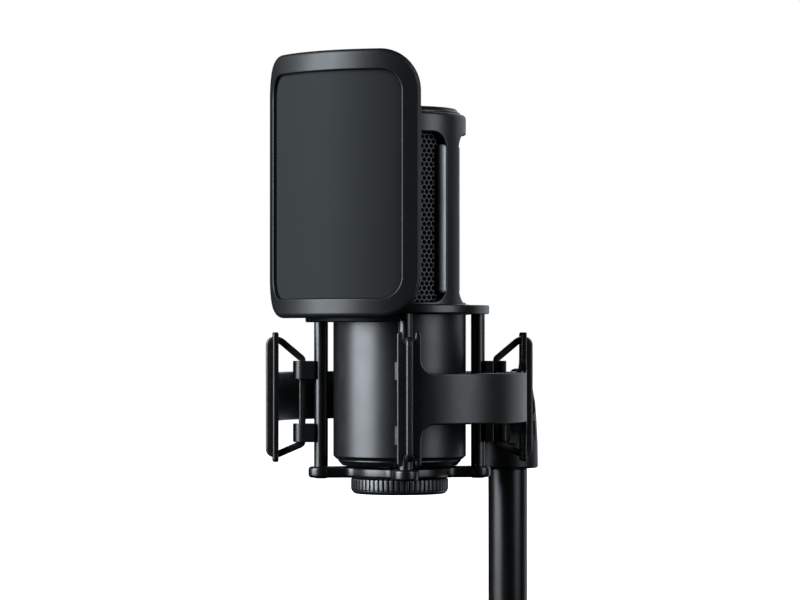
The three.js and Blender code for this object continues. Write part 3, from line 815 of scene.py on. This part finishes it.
def knob_piece():
    depth = KNOB_INNER - KNOB_OUTER
    bore = PIVOT_SHAFT + GAP
    profile = [
        (0, KNOB_BORE_DEPTH),
        (bore, KNOB_BORE_DEPTH),
        (bore, 0),
        (KNOB_HUB, 0),
        (KNOB_HUB, KNOB_RIM),
        (KNOB_R - 1.1, KNOB_RIM),
        (KNOB_R - 0.4, KNOB_RIM + 0.2),
        (KNOB_R - 0.1, KNOB_RIM + 0.6, KNOB_FLUTE * 0.6),
        (KNOB_R, KNOB_RIM + 1.1, KNOB_FLUTE),
        (KNOB_R, depth - 1.9, KNOB_FLUTE),
        (KNOB_R - 0.2, depth - 1.0, KNOB_FLUTE * 0.8),
        (KNOB_R - 0.8, depth - 0.3, KNOB_FLUTE * 0.3),
        (KNOB_R - 1.5, depth),
        (KNOB_DISH_R + 0.3, depth),
        (KNOB_DISH_R, depth - KNOB_DISH),
        (0, depth - KNOB_DISH),
    ]
    bm = turned(profile, 192, flutes=KNOB_FLUTES)
    place = Matrix.Translation((KNOB_INNER, PIVOT_Y, PIVOT_Z))
    move(bm, Matrix.Rotation(math.radians(-90), 4, "Y"))
    piece("tilt_knob_grip", bm, place, "knob", "knob_plastic", ["tilt_knob"])


# ---- Outer frame ----
def wing_corners(reach):
    """The corners of half of a wing's upper edge, from the band to the notch, drawn flat."""
    half = WING_WIDTH / 2
    top = WING_HEIGHT / 2
    band_top = BAND_HEIGHT / 2
    notch = NOTCH_WIDTH / 2
    return [
        (reach, band_top),
        (half, band_top, WING_FILLET),
        (half, top, 1.4),
        (notch + 0.4, top, 0.9),
        (notch, top - NOTCH_DEPTH, 1.2),
    ]


def mirrored(corners, across=-1, along=1):
    return [(corner[0] * across, corner[1] * along, *corner[2:]) for corner in reversed(corners)]


def whole_quarter(reach):
    """A quarter of the frame centred on a wing: its lower and upper edges."""
    right = wing_corners(reach)
    upper = soften(right + mirrored(right), closed=False, arc_step=9)
    return [[Vector((-p.x, -p.y)) for p in upper], upper]


def end_of_frame(reach):
    """An eighth of the frame and its last wing, whose free edge is straight."""
    right = wing_corners(reach)
    upper = right + mirrored(right)[:-2]
    return [soften(upper + mirrored(upper, 1, -1), closed=False, arc_step=9)]


def pivot_lug():
    """The arm that reaches back from the band to the adapter's bolt."""
    rear = PIVOT_Y - MIC_Y
    height = PIVOT_Z - FRAME_Z
    front = BAND_R - BAND_WALL / 2
    neck = rear - LUG_NECK
    line = [Vector((front, -LUG_ROOT)), Vector((neck, height - LUG_KNUCKLE))]
    line += arc(rear, height, LUG_KNUCKLE, -90, 90)
    line += [Vector((neck, height + LUG_KNUCKLE)), Vector((front, LUG_ROOT))]
    hole = list(reversed(circle(PIVOT_HOLE, rear, height)))
    bm = slab([line, hole], -LUG_HALF, LUG_HALF, [0.6, 0.3])
    upright = Matrix(((0, 0, 1, 0), (1, 0, 0, 0), (0, 1, 0, 0), (0, 0, 0, 1)))  # drawn in (Y, Z)
    return move(bm, upright)


def outer_frame_piece():
    reach = math.pi * BAND_R / 4
    inner = BAND_R - BAND_WALL
    rear = wrap(slab(whole_quarter(reach), inner, BAND_R, [0.6, 0.6], open_ends=2), BAND_R)
    right = wrap(slab(end_of_frame(reach), inner, BAND_R, [0.6], open_ends=1), BAND_R)
    left = right.copy()
    left.transform(Matrix.Scale(-1, 4, (1, 0, 0)))
    right.transform(Matrix.Rotation(math.radians(45), 4, "Z"))
    left.transform(Matrix.Rotation(math.radians(-45), 4, "Z"))
    ring = joined(repeated(rear, [135, 225]), right, left)
    bmesh.ops.remove_doubles(ring, verts=ring.verts[:], dist=0.002)
    bm = joined(ring, pivot_lug())
    piece("frame_ring", bm, MOUNT, "frame", "mount_plastic", ["outer_frame"])


# ---- Elastic bands ----
def elastic_path():
    """The closed loop of one band, over its wing and through both hooks, as (distance out, height)."""
    corners = [
        (ELASTIC_OUTER, ELASTIC_TOP, 2.2),
        (ELASTIC_UPPER_TURN, ELASTIC_TOP, 3.5),
        (ELASTIC_INNER, ELASTIC_UPPER, 1.4),
        (ELASTIC_INNER, ELASTIC_LOWER, 1.4),
        (ELASTIC_LOWER_TURN, -ELASTIC_TOP, 1.6),
        (ELASTIC_OUTER, -ELASTIC_TOP, 2.2),
    ]
    rounded = soften(corners, arc_step=10)
    path = []
    for i, at in enumerate(rounded):
        ahead = rounded[(i + 1) % len(rounded)]
        parts = max(1, round((ahead - at).length / 1.5))
        path += [at.lerp(ahead, k / parts) for k in range(parts)]
    return path


def elastic_pieces():
    path = elastic_path()
    half = ELASTIC_WIDTH / 2
    outline = rounded_rectangle(ELASTIC_THICK, -half, half, ELASTIC_ROUND, arc_step=20)
    section = [(p.x, p.y) for p in outline]
    for number, turn in enumerate(WING_TURNS, 1):
        bm = swept(path, section)
        name = f"elastic_loop_{number}"
        obj = new_object(name, bm, spoke(turn))
        node = f"elastic_band_{number}"
        make_piece(obj, None, "band_rubber", [node], sharp=60)
        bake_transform(obj)


# ---- Inner cage ----
def plate_pieces():
    profile = [
        (PLATE_HOLE, PLATE_BOTTOM, 0.3),
        (PLATE_R, PLATE_BOTTOM, 0.7),
        (PLATE_R, PLATE_TOP, 0.7),
        (PLATE_HOLE, PLATE_TOP, 0.3),
    ]
    plate = lathe(profile, closed=True, segments=160)
    piece("upper_ring", plate, MOUNT, "cage", "mount_metal", ["upper_plate"])
    inner, outer = MIC_R + GAP, PLATE_HOLE - GAP
    profile = [
        (inner, PLATE_BOTTOM - SEAT, 0.5),
        (outer, PLATE_BOTTOM - SEAT, 0.5),
        (outer, PLATE_TOP + SEAT, 0.5),
        (inner, PLATE_TOP + SEAT, 0.5),
    ]
    liner = lathe(profile, closed=True, segments=128)
    piece("ring_liner", liner, MOUNT, "cage", "band_rubber", ["plate_liner"])


def spider_outline():
    """A ring with four arms that run through fillets into round ends under the posts."""
    half = SPIDER_ARM / 2
    root = math.degrees(math.asin((half + SPIDER_FILLET) / (SPIDER_RING + SPIDER_FILLET)))
    root_x = (SPIDER_RING + SPIDER_FILLET) * math.cos(math.radians(root))
    meet = 180 - math.degrees(math.asin(half / SPIDER_BOSS))
    fillet = SPIDER_FILLET
    arm = arc(root_x, -half - fillet, fillet, 180 - root, 90)
    arm += arc(POST_CIRCLE, 0, SPIDER_BOSS, -meet, meet)
    arm += arc(root_x, half + fillet, fillet, -90, root - 180)
    arm += arc(0, 0, SPIDER_RING, root, 90 - root)[1:-1]
    outline = []
    for k in range(4):
        turn = Matrix.Rotation(k * math.pi / 2, 2)
        outline += [turn @ p for p in arm]
    return outline


def spider_piece():
    hole = list(reversed(circle(SPIDER_HOLE, count=72)))
    bm = slab([spider_outline(), hole], SPIDER_BOTTOM, SPIDER_TOP, [1.25, 0.5], steps=4)
    place = MOUNT @ Matrix.Rotation(math.pi / 4, 4, "Z")
    piece("lower_star", bm, place, "cage", "mount_metal", ["lower_spider"])


def column(turn):
    return spoke(turn) @ Matrix.Translation((POST_CIRCLE, 0, 0))


def post_piece(number, turn):
    bottom, top = SPIDER_TOP - SEAT, PLATE_BOTTOM + SEAT
    post = turned([(0, bottom), (POST_R, bottom), (POST_R, top), (0, top)], 64)
    piece(f"cage_post_{number}", post, column(turn), "cage", "mount_metal", [f"post_{number}"])


def screw_piece(number, turn):
    head = SPIDER_BOTTOM - 0.35
    floor = head + SCREW_SOCKET_DEPTH
    profile = [
        (0, floor),
        (SCREW_SOCKET, floor),
        (SCREW_SOCKET, head + 0.05, 0.1),
        (SCREW_R, head, 0.35),
        (SCREW_R, head + SCREW_HEAD),
        (0, head + SCREW_HEAD),
    ]
    screw = lathe(profile, segments=48)
    piece(f"screw_{number}", screw, column(turn), "cage", "fastener_steel", [f"post_screw_{number}"])


def post_pieces():
    for number, turn in enumerate(WING_TURNS, 1):
        post_piece(number, turn)
        screw_piece(number, turn)


def clip_outline():
    """A hook seen from above, from its post outwards, with an open channel for the band."""
    channel = ELASTIC_THICK / 2 + GAP
    floor = ELASTIC_WIDTH / 2 + GAP
    inner, outer = ELASTIC_INNER - channel, ELASTIC_INNER + channel
    start = POST_CIRCLE + POST_R - SEAT
    corners = [
        (start, -CLIP_FRONT, 0.3),
        (inner, -CLIP_FRONT, 0.5),
        (inner, floor, 0.8),
        (outer, floor, 0.8),
        (outer, -CLIP_FRONT, 0.4),
        (CLIP_REACH, -CLIP_FRONT, 0.8),
        (CLIP_REACH, CLIP_BACK, CLIP_BACK - 0.05),
        (start, CLIP_BACK, 0.3),
    ]
    return soften(corners)


def clip_pieces():
    for number, turn in enumerate(WING_TURNS, 1):
        for side, middle in CLIP_MIDDLES.items():
            half = CLIP_HEIGHT / 2
            bm = slab([clip_outline()], middle - half, middle + half, [0.35], hold=0.1)
            node = [f"{side}_clip_{number}"]
            name = f"{side}_hook_{number}"
            piece(name, bm, spoke(turn), "cage", "mount_plastic", node)


def nut_piece():
    rim = NUT_BOTTOM + NUT_RIM
    profile = [
        (NUT_HOLE, NUT_BOTTOM + 0.3),
        (NUT_HOLE + 0.3, NUT_BOTTOM),
        (NUT_R - 1.7, NUT_BOTTOM),
        (NUT_R - 1.3, NUT_BOTTOM + 0.15),
        (NUT_R - 0.35, rim - 0.3),
        (NUT_R - 0.3, rim),
        (NUT_R - 0.3, rim + 0.15, NUT_GROOVE),
        (NUT_R - 0.05, rim + 0.3, NUT_GROOVE),
        (NUT_R, rim + 0.6, NUT_GROOVE),
        (NUT_R, NUT_TOP - 0.5, NUT_GROOVE),
        (NUT_R - 0.15, NUT_TOP - 0.15, NUT_GROOVE),
        (NUT_R - 0.5, NUT_TOP, NUT_GROOVE),
        (NUT_R - 1.4, NUT_TOP),
        (NUT_HOLE, NUT_TOP),
    ]
    bm = turned(profile, NUT_RIBS * 10, flutes=NUT_RIBS, closed=True)
    piece("base_ring", bm, MOUNT, "nut", "knob_plastic", ["ring_nut"], sharp=50)


# ---- Microphone ----
def body_pieces():
    inner = MIC_R - MIC_WALL
    profile = [
        (inner, BODY_START),
        (BODY_FOOT_R, BODY_START, 0.25),
        (MIC_R, BODY_START + 1.4, 0.4),
        (MIC_R, BODY_TOP, 0.25),
        (inner, BODY_TOP),
    ]
    tube = lathe(profile, closed=True, segments=192)
    piece("mic_casing", tube, MIC, "microphone", "mic_metal", ["mic_tube"])
    profile = [
        (NECK_BORE, NECK_END, 0.3),
        (NECK_R, NECK_END, 0.6),
        (NECK_R, 0, 0.3),
        (BASE_FOOT_R, 0, 0.6),
        (BASE_R, BODY_START - 0.5, 0.6),
        (SPIGOT_R, BODY_START - 0.2),
        (SPIGOT_R, SPIGOT_TOP),
        (SPIGOT_BORE, SPIGOT_TOP),
        (SPIGOT_BORE, BASE_FLOOR),
        (NECK_BORE, BASE_FLOOR),
    ]
    base = lathe(profile, closed=True, segments=160)
    piece("mic_base", base, MIC, "microphone", "mic_metal", ["base_cap"])


def socket_pieces():
    outline = circle(NECK_BORE - GAP, count=64)
    holes = [list(reversed(circle(PIN_HOLE, x, y, 20))) for x, y in PIN_SPOTS]
    bm = slab([outline, *holes], INSERT_LOW, INSERT_HIGH, [0.5, 0.2, 0.2, 0.2], hold=0.1)
    piece("xlr_face", bm, MIC, "microphone", "insert_plastic", ["xlr_insert"])
    for number, (x, y) in enumerate(PIN_SPOTS, 1):
        profile = [(0, PIN_LOW), (PIN_R, PIN_LOW, 0.9), (PIN_R, PIN_HIGH), (0, PIN_HIGH)]
        pin = lathe(profile, segments=32)
        place = MIC @ Matrix.Translation((x, y, 0))
        node = [f"xlr_pin_{number}"]
        piece(f"contact_pin_{number}", pin, place, "microphone", "fastener_steel", node)


def front_half(bm):
    """Keeps the half of a solid that lies towards -Y and closes its flat back."""
    everything = bm.verts[:] + bm.edges[:] + bm.faces[:]
    plane = {"plane_co": (0, 0, 0), "plane_no": (0, 1, 0)}
    bmesh.ops.bisect_plane(bm, geom=everything, clear_outer=True, **plane)
    bmesh.ops.holes_fill(bm, edges=[e for e in bm.edges if e.is_boundary])
    return bm


def clamp_pieces():
    """Half-round bars that hold the side edges of both grilles against the pillars."""
    for name, turn in (("front_bar", 0), ("rear_bar", 180)):
        for number, side in enumerate((-1, 1), 1):
            profile = [(0, BAR_LOW), (BAR_R, BAR_LOW, 1.5), (BAR_R, BAR_HIGH, 1.5), (0, BAR_HIGH)]
            spot = Matrix.Translation((side * BAR_X, -PILLAR / 2 - 0.1, 0))
            place = MIC @ Matrix.Rotation(math.radians(turn), 4, "Z") @ spot
            bar = front_half(lathe(profile, segments=48))
            # the bars' light grey paint is a painted highlight for the lit edge of each window
            piece(f"{name}_{number}", bar, place, "microphone", "grille_metal", [], paint="bar_painted_highlight")


def casing_piece():
    """The head's shell, from two halves that each hold a window and meet at the pillars."""
    half_turn = math.pi * MIC_R / 2
    edge = math.pi / 2 - math.asin(PILLAR / 2 / MIC_R)
    window = rounded_rectangle(2 * edge * MIC_R, WINDOW_LOW, WINDOW_HIGH, WINDOW_FILLET)
    lower = [Vector((-half_turn, HEAD_BOTTOM)), Vector((half_turn, HEAD_BOTTOM))]
    upper = [Vector((half_turn, HEAD_TOP)), Vector((-half_turn, HEAD_TOP))]
    lines = [lower, upper, list(reversed(window))]
    sector = slab(lines, MIC_R - HEAD_WALL, MIC_R, [0.3, 1.6, 0.45], open_ends=2, steps=4)
    bm = repeated(wrap(sector, MIC_R, 1.5), [0, 180])
    piece("head_casing", bm, MIC, "microphone", "mic_metal", ["head_frame"])


def lid_piece():
    plug = MIC_R - HEAD_WALL - GAP
    profile = [
        (0, LID_PLUG_LOW),
        (plug, LID_PLUG_LOW),
        (plug, HEAD_TOP - 0.7),
        (plug + 0.1, HEAD_TOP - 0.5),
        (LID_R, HEAD_TOP + 0.2, 0.3),
        (LID_R - 0.1, HEAD_TOP + 0.9, 0.4),
        (LID_R - 0.9, HEAD_TOP + 1.2, 0.3),
        (LID_R - 1.8, HEAD_TOP + LID_RISE, 0.8),
        (0, HEAD_TOP + LID_RISE),
    ]
    lid = lathe(profile, segments=160)
    piece("head_cap", lid, MIC, "microphone", "mic_metal", ["head_lid"])


def perforated_half():
    """A flat field of hexagonal cells, each round a hole, with front, back and hole walls."""
    row_step = HOLE_PITCH * math.sqrt(3) / 2
    width = math.pi * GRILLE_R - 2
    columns = int(width / HOLE_PITCH)
    rows = int((GRILLE_TOP - GRILLE_BOTTOM) / row_step)
    start = -(columns - 0.5) * HOLE_PITCH / 2
    bottom = GRILLE_BOTTOM + row_step
    corner = HOLE_PITCH / math.sqrt(3)
    layers = (GRILLE_R - GRILLE_WALL, GRILLE_R)
    spokes = 12
    bm = bmesh.new()
    for row in range(rows - 1):
        for column_index in range(columns):
            x = start + (column_index + 0.5 * (row % 2)) * HOLE_PITCH
            y = bottom + row * row_step
            rings = []
            for radius in layers:
                inner, outer = [], []
                for k in range(spokes):
                    angle = math.pi / 2 + k * 2 * math.pi / spokes
                    away = Vector((math.cos(angle), math.sin(angle)))
                    rim = corner if k % 2 == 0 else HOLE_PITCH / 2
                    inner.append(bm.verts.new((x + HOLE_R * away.x, y + HOLE_R * away.y, radius)))
                    outer.append(bm.verts.new((x + rim * away.x, y + rim * away.y, radius)))
                bridge(bm, inner, outer)
                rings.append((inner, outer))
            bridge(bm, rings[0][0], rings[1][0])
    bmesh.ops.remove_doubles(bm, verts=bm.verts[:], dist=0.01)
    open_edges = [e for e in bm.edges if e.is_boundary]
    bmesh.ops.bridge_loops(bm, edges=open_edges)
    bend(bm, GRILLE_R)
    return bm


def grille_pieces():
    for name, turn, node in (("front_mesh", 0, "front_grille"), ("rear_mesh", 180, "rear_grille")):
        place = MIC @ Matrix.Rotation(math.radians(turn), 4, "Z")
        piece(name, perforated_half(), place, "microphone", "grille_metal", [node])


# ---- Pop shield ----
def shield_outline(inset):
    width = SHIELD_WIDTH - 2 * inset
    return rounded_rectangle(width, SHIELD_BOTTOM + inset, SHIELD_TOP - inset, SHIELD_CORNER - inset, 6)


def window_outline(inset):
    width = SHIELD_WIDTH - 2 * (BEZEL + inset)
    bottom = SHIELD_BOTTOM + BEZEL_LOWER + inset
    top = SHIELD_TOP - BEZEL_UPPER - inset
    return rounded_rectangle(width, bottom, top, BEZEL_CORNER - inset, 6)


def shield_piece(name, lines, low, high, edges, slot, node, steps=4):
    bm = wrap(slab(lines, low, high, edges, steps=steps), SHIELD_R)
    return piece(name, bm, SHIELD, "pop_shield", slot, [node])


def add_flat_map(obj):
    """A UV map in millimetres over the unrolled shell, for the weave."""
    layer = obj.data.uv_layers.new(name="UVMap")
    back = SHIELD.inverted()
    for loop in obj.data.loops:
        spot = back @ (obj.data.vertices[loop.vertex_index].co / MM)
        angle = math.atan2(spot.x, -spot.y)
        layer.data[loop.index].uv = (angle * SHIELD_R, spot.z)


def shield_pieces():
    lines = [shield_outline(0), list(reversed(window_outline(0)))]
    low = SHIELD_SPLIT + GAP
    shield_piece("shield_rim", lines, low, SHIELD_R, [1.9, 0.6], "shield_metal", "shield_frame")
    lines = [shield_outline(SHELL_INSET), list(reversed(window_outline(SHELL_WINDOW_INSET)))]
    low = SHIELD_R - SHIELD_DEPTH
    shield_piece("shield_shell", lines, low, SHIELD_SPLIT, [1.2, 0.8], "shield_plastic", "shield_back")
    cloth_low = SCREEN_R - SCREEN_WALL
    lines = [window_outline(CLOTH_INSET)]
    cloth = shield_piece(
        "shield_cloth", lines, cloth_low, SCREEN_R, [0.15], "screen_cloth", "shield_screen", steps=2
    )
    add_flat_map(cloth)
    lines = [window_outline(PAD_INSET)]
    pad = shield_piece(
        "shield_pad", lines, SHIELD_SPLIT + GAP, cloth_low - GAP, [0.4], "foam", "shield_foam", steps=3
    )


def foot_arc(radius, half):
    return arc(0, 0, radius, -90 - half, -90 + half, 3)


def foot_block(outer, inner, low, high, edge):
    """A block between an outer and an inner arc."""
    return slab([outer + list(reversed(inner))], low, high, [edge], hold=0.15)


def foot_piece():
    """A lip in front of the plate's rim, a shelf on the plate, and the block that carries the shield."""
    back = SHIELD_R - SHIELD_DEPTH
    half = math.degrees(math.asin(FOOT_HALF / FOOT_RIM))
    block_half = math.degrees(math.asin(FOOT_HALF / back))
    front, rim, shelf = (foot_arc(radius, half) for radius in (FOOT_LIP, FOOT_RIM, FOOT_SHELF))
    under_shield = [p + Vector((0, SHIELD_BACK)) for p in foot_arc(back - 0.1, block_half)]
    bm = joined(
        foot_block(front, rim, FOOT_BOTTOM, FOOT_SEAT + 0.5, 0.6),
        foot_block(front, shelf, FOOT_SEAT, FOOT_TOP, 0.6),
        foot_block(under_shield, foot_arc(FOOT_RIM + 0.1, half), FOOT_LIP_TOP, FOOT_TOP - 0.2, 0.4),
    )
    piece("shield_bracket", bm, MIC, "pop_shield", "shield_plastic", ["shield_foot"])


# ---- Camera, light and floor ----
CAMERA_AZIMUTH = 40.8
CAMERA_DISTANCE = 1290.0
CAMERA_ASIDE = 0.17
CAMERA_HEIGHT = 125.0
CAMERA_PITCH = 0.67
LENS = 135.0
LIGHT_DISTANCE = 1.3  # metres, as all the softboxes' sizes are
COOL_WHITE = (0.92, 1.0, 1.07)


def direction(azimuth):
    """Level, in degrees from -Y towards +X."""
    angle = math.radians(azimuth)
    return Vector((math.sin(angle), -math.cos(angle), 0))


def make_camera():
    data = bpy.data.cameras.new("camera")
    data.lens = LENS
    data.sensor_width = 36
    data.clip_start, data.clip_end = 0.05, 50
    camera = bpy.data.objects.new("camera", data)
    bpy.context.scene.collection.objects.link(camera)
    spot = Vector((0, MIC_Y, 0)) + direction(CAMERA_AZIMUTH) * CAMERA_DISTANCE
    spot += direction(CAMERA_AZIMUTH + 90) * CAMERA_ASIDE
    camera.location = (spot.x * MM, spot.y * MM, CAMERA_HEIGHT * MM)
    camera.rotation_euler = (math.radians(90 + CAMERA_PITCH), 0, math.radians(CAMERA_AZIMUTH))
    bpy.context.scene.camera = camera


def softbox(name, turn, width, low, high, strength):
    """An upright soft light that faces the microphone, turned from the camera's side of it."""
    height = high - low
    data = bpy.data.lights.new(name, "AREA")
    data.shape = "RECTANGLE"
    data.size = width
    data.size_y = height
    data.energy = strength * width * height * math.pi
    data.color = COOL_WHITE
    light = bpy.data.objects.new(name, data)
    bpy.context.scene.collection.objects.link(light)
    aim = Vector((0, MIC_Y * MM, (low + high) / 2))
    light.location = aim + direction(CAMERA_AZIMUTH + turn) * LIGHT_DISTANCE
    light.rotation_euler = (aim - light.location).to_track_quat("-Z", "Y").to_euler()


def make_lights():
    softbox("key", turn=-65.5, width=1.05, low=0.0, high=1.3, strength=18.2)
    softbox("left_side", turn=-112, width=0.5, low=0.2, high=1.3, strength=1.2)
    softbox("fill", turn=59, width=0.65, low=0.0, high=1.3, strength=4.9)
    softbox("right_rim", turn=138, width=1.1, low=-0.6, high=1.2, strength=0.8)
    softbox("back", turn=180, width=0.6, low=0.4, high=1.4, strength=2.5)


def make_surroundings():
    """White to the camera, and almost dark to the object, so that only the softboxes light it."""
    world = bpy.data.worlds.new("studio")
    bpy.context.scene.world = world
    world.use_nodes = True
    nodes, links = world.node_tree.nodes, world.node_tree.links
    seen = nodes["Background"]
    seen.inputs["Color"].default_value = (1, 1, 1, 1)
    around = nodes.new("ShaderNodeBackground")
    around.inputs["Color"].default_value = (0.9, 0.96, 1, 1)
    around.inputs["Strength"].default_value = 0.01
    ray = nodes.new("ShaderNodeLightPath")
    mix = nodes.new("ShaderNodeMixShader")
    links.new(ray.outputs["Is Camera Ray"], mix.inputs["Fac"])
    links.new(around.outputs["Background"], mix.inputs[1])
    links.new(seen.outputs["Background"], mix.inputs[2])
    links.new(mix.outputs["Shader"], nodes["World Output"].inputs["Surface"])


def make_floor():
    bm = bmesh.new()
    bmesh.ops.create_grid(bm, x_segments=1, y_segments=1, size=6)
    mesh = bpy.data.meshes.new("floor")
    bm.to_mesh(mesh)
    bm.free()
    floor = bpy.data.objects.new("floor", mesh)
    bpy.context.scene.collection.objects.link(floor)
    floor.visible_diffuse = False
    floor.visible_glossy = False
    material, _, _, shader = node_material("pale_floor")
    shader.inputs["Base Color"].default_value = (0.85, 0.85, 0.85, 1)
    shader.inputs["Roughness"].default_value = 0.9
    shader.inputs["Emission Color"].default_value = (1, 1, 1, 1)
    shader.inputs["Emission Strength"].default_value = 1.1
    mesh.materials.append(material)


bpy.context.scene.view_settings.view_transform = "Standard"
make_camera()
make_lights()
make_surroundings()
make_floor()

stand_pieces()
adapter_piece()
bolt_piece()
knob_piece()
outer_frame_piece()
elastic_pieces()
plate_pieces()
spider_piece()
post_pieces()
clip_pieces()
nut_piece()
body_pieces()
socket_pieces()
casing_piece()
lid_piece()
clamp_pieces()
grille_pieces()
shield_pieces()
foot_piece()
